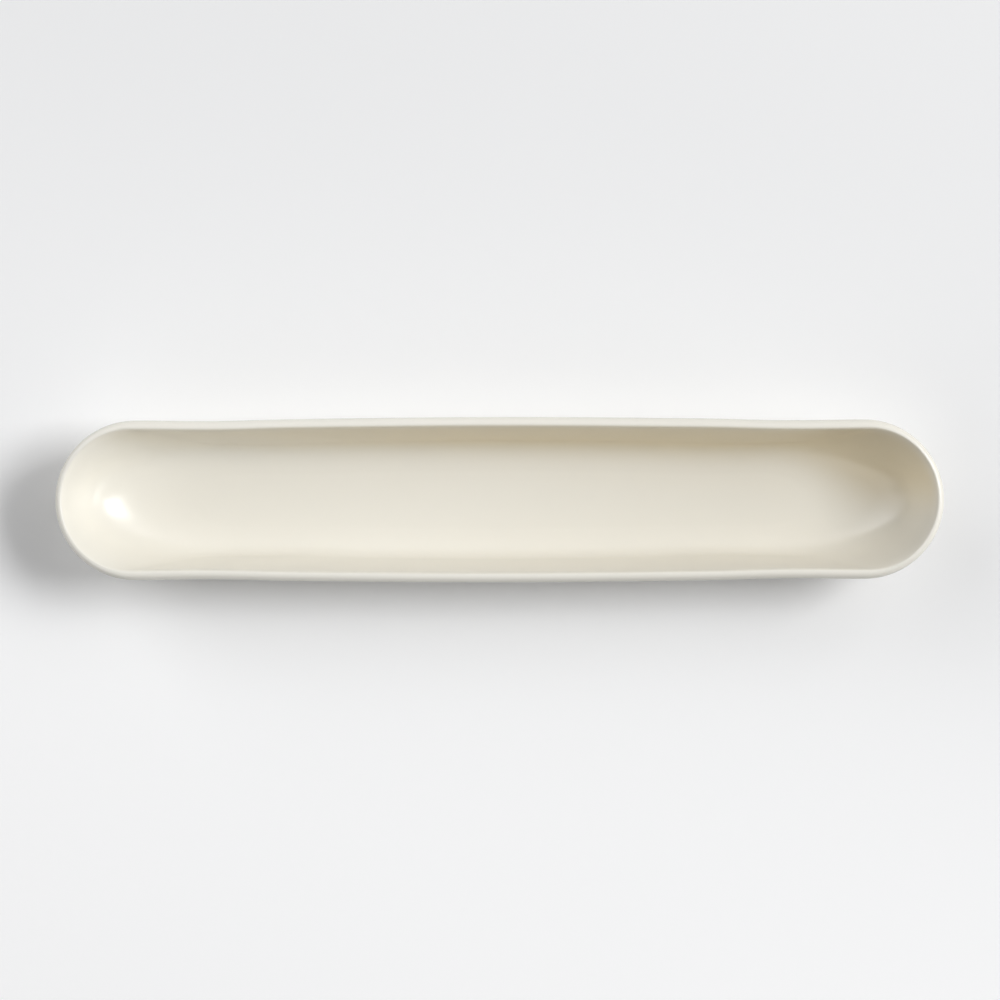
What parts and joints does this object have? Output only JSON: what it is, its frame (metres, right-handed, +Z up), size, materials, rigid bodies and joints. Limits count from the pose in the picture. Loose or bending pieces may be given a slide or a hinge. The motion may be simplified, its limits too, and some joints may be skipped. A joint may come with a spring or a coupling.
{
  "type": "olive dish",
  "caption": "Long narrow glazed stoneware olive dish: a round-ended trough with leaning walls, a dished floor and a soft rounded lip, standing on a low unglazed foot ring.",
  "frame": {"origin": "on the table, under the middle of the dish", "axes": "+X along the dish's length, +Y across it, +Z up"},
  "size_m": [0.33, 0.0614, 0.034],
  "materials": {
    "bare_clay": "matte",
    "cream_glaze": "satin"
  },
  "bodies": {
    "root": {"stoneware_body": "bare_clay", "glaze_coat": "cream_glaze", "base_glaze": "cream_glaze"}
  },
  "joints": []
}
